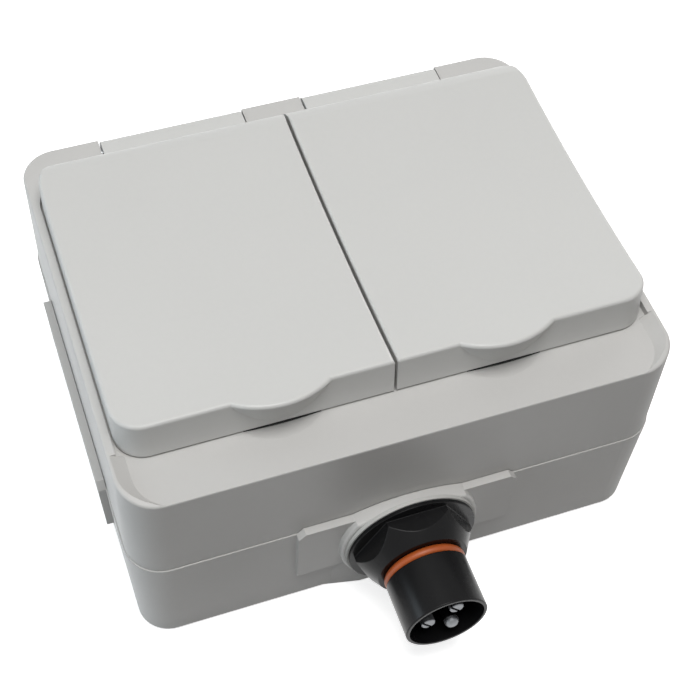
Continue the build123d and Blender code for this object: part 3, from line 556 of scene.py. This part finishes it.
def make_sleeve_tree():
    """Tapered sleeves round three contact pins that point along -Y."""
    tree, size, result = new_group(
        "pin_sleeves",
        [
            ("Radius", "NodeSocketFloat", 0.00206),
            ("Taper", "NodeSocketFloat", 0.00004),
            ("Length", "NodeSocketFloat", 0.0106),
            ("Foot 1", "NodeSocketVector", (0.0, 0.0, 0.0)),
            ("Foot 2", "NodeSocketVector", (0.0, 0.0, 0.0)),
            ("Foot 3", "NodeSocketVector", (0.0, 0.0, 0.0)),
            ("Finish", "NodeSocketMaterial", None),
        ],
        [("Sleeves", "NodeSocketGeometry")],
        "GeometryNodeTree",
    )
    sleeve = add_node(
        tree,
        "GeometryNodeMeshCone",
        {"fill_type": "NGON"},
        Vertices=40,
        Side_Segments=2,
        Radius_Top=reckon(tree, "SUBTRACT", size["Radius"], size["Taper"]),
        Radius_Bottom=size["Radius"],
        Depth=size["Length"],
    )
    lying = add_node(tree, "GeometryNodeTransform", Geometry=sleeve.outputs["Mesh"])
    set_inputs(lying, Rotation=(math.pi / 2, 0.0, 0.0))
    feet = add_node(tree, "GeometryNodeJoinGeometry")
    for label in ("Foot 1", "Foot 2", "Foot 3"):
        foot = add_node(tree, "GeometryNodePoints", Count=1, Position=size[label])
        feed(feet.inputs[0], foot.outputs[0])
    repeat(tree, lying.outputs["Geometry"], feet.outputs[0], size["Finish"], result)
    return tree


bare_tip = 0.0021
sleeve_length = 0.0106
pin_feet = []
for pin in ("line_pin", "neutral_pin", "earth_pin"):
    pin_low, pin_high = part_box(pin)
    pin_middle = (pin_low + pin_high) / 2
    pin_feet.append((pin_middle.x, pin_low.y + bare_tip + sleeve_length, pin_middle.z))
grow(
    "contact_pin_sleeves",
    make_sleeve_tree(),
    "box",
    "black_plastic",
    radius=0.00206,
    taper=0.00004,
    length=sleeve_length,
    foot_1=pin_feet[0],
    foot_2=pin_feet[1],
    foot_3=pin_feet[2],
)


# Floor, light and camera
def show_by_sight(tree, output, seen, unseen):
    """Shows one shader to the eye, to gloss and to clear bodies, and another to all other rays."""
    path = add_node(tree, "ShaderNodeLightPath").outputs
    sight = path["Is Camera Ray"]
    for ray in ("Is Glossy Ray", "Is Transmission Ray"):
        sight = reckon(tree, "MAXIMUM", sight, path[ray])
    choose = add_node(tree, "ShaderNodeMixShader", Fac=sight)
    feed(choose.inputs[1], unseen)
    feed(choose.inputs[2], seen)
    add_node(tree, output, Surface=choose.outputs["Shader"])


def make_floor():
    """Wide pale floor that shows white and keeps a faint shadow of the box."""
    reach = 3.0
    gap_below = 0.0002
    level = cad_low.z - gap_below
    mesh = bpy.data.meshes.new("floor")
    mesh.from_pydata(
        [(-reach, -reach, level), (reach, -reach, level), (reach, reach, level), (-reach, reach, level)],
        [],
        [(0, 1, 2, 3)],
    )
    floor = bpy.data.objects.new("floor", mesh)
    bpy.context.scene.collection.objects.link(floor)

    white_paint = (0.9, 0.9, 0.9, 1.0)
    dark_paint = (0.08, 0.08, 0.08, 1.0)
    glow_start, glow_full = 0.3, 1.2
    near_glow, far_glow = 0.72, 1.0
    made = bpy.data.materials.new("floor_white")
    tree = empty_tree(made)
    place = add_node(tree, "ShaderNodeTexCoord").outputs["Object"]
    away = add_node(tree, "ShaderNodeVectorMath", {"operation": "LENGTH"})
    feed(away.inputs[0], place)
    glow = add_node(tree, "ShaderNodeMapRange", Value=away.outputs["Value"])
    set_inputs(glow, From_Min=glow_start, From_Max=glow_full, To_Min=near_glow, To_Max=far_glow)
    white = add_node(tree, "ShaderNodeEmission", Strength=glow.outputs["Result"])
    paint = add_node(tree, "ShaderNodeBsdfDiffuse", Color=white_paint)
    bright = add_node(tree, "ShaderNodeAddShader")
    feed(bright.inputs[0], paint.outputs["BSDF"])
    feed(bright.inputs[1], white.outputs["Emission"])
    dim = add_node(tree, "ShaderNodeBsdfDiffuse", Color=dark_paint)
    show_by_sight(tree, "ShaderNodeOutputMaterial", bright.outputs["Shader"], dim.outputs["BSDF"])
    mesh.materials.append(made)


def make_world():
    """White backdrop for the eye and for reflections, soft faint light for the rest."""
    world = bpy.data.worlds.new("studio")
    bpy.context.scene.world = world
    tree = empty_tree(world)
    white = add_node(tree, "ShaderNodeBackground", Color=(1.0, 1.0, 1.0, 1.0), Strength=1.0)
    sky = add_node(tree, "ShaderNodeBackground", Color=(1.0, 0.98, 0.96, 1.0), Strength=0.17)
    show_by_sight(tree, "ShaderNodeOutputWorld", white.outputs["Background"], sky.outputs["Background"])


def make_lamp(name, place, aim, size, power, colour):
    """Square soft lamp at a place, turned towards an aim."""
    data = bpy.data.lights.new(name, "AREA")
    data.shape = "SQUARE"
    data.size = size
    data.energy = power
    data.color = colour
    lamp = bpy.data.objects.new(name, data)
    bpy.context.scene.collection.objects.link(lamp)
    lamp.location = place
    lamp.rotation_euler = (Vector(aim) - Vector(place)).to_track_quat("-Z", "Y").to_euler()


def make_camera(place, turn, lens):
    """Camera at the photograph's place and angle."""
    data = bpy.data.cameras.new("camera")
    data.sensor_width = 36.0
    data.lens = lens
    data.clip_start = 0.01
    camera = bpy.data.objects.new("camera", data)
    bpy.context.scene.collection.objects.link(camera)
    camera.location = place
    camera.rotation_euler = Euler(turn, "XYZ")
    bpy.context.scene.camera = camera


make_floor()
make_world()
# Above the box
make_lamp(
    "key_lamp",
    place=(-0.04, -0.185, 1.05),
    aim=(0.0, 0.0, 0.05),
    size=0.5,
    power=7.7,
    colour=(1.0, 0.995, 0.985),
)
# Cool light on the left side and the front left corner
make_lamp(
    "side_lamp",
    place=(-1.0, -0.17, 0.25),
    aim=(0.0, 0.0, 0.03),
    size=0.5,
    power=1.9,
    colour=(0.82, 0.93, 1.0),
)
# Cool light from the left rear, which gives the plug's tube its sheen
make_lamp(
    "window_lamp",
    place=(-0.98, 0.36, 0.3),
    aim=(0.0, -0.05, 0.03),
    size=0.36,
    power=2.0,
    colour=(0.78, 0.91, 1.0),
)
# Back and right side, which the main view hides
make_lamp(
    "back_lamp",
    place=(0.75, 0.7, 0.18),
    aim=(0.0, 0.0, 0.03),
    size=0.6,
    power=4.4,
    colour=(1.0, 1.0, 1.0),
)
make_camera(
    place=(-0.09481, -0.24368, 0.38470),
    turn=(0.630962, -0.038885, -0.337718),
    lens=77.11,
)
bpy.context.scene.view_settings.view_transform = "Standard"
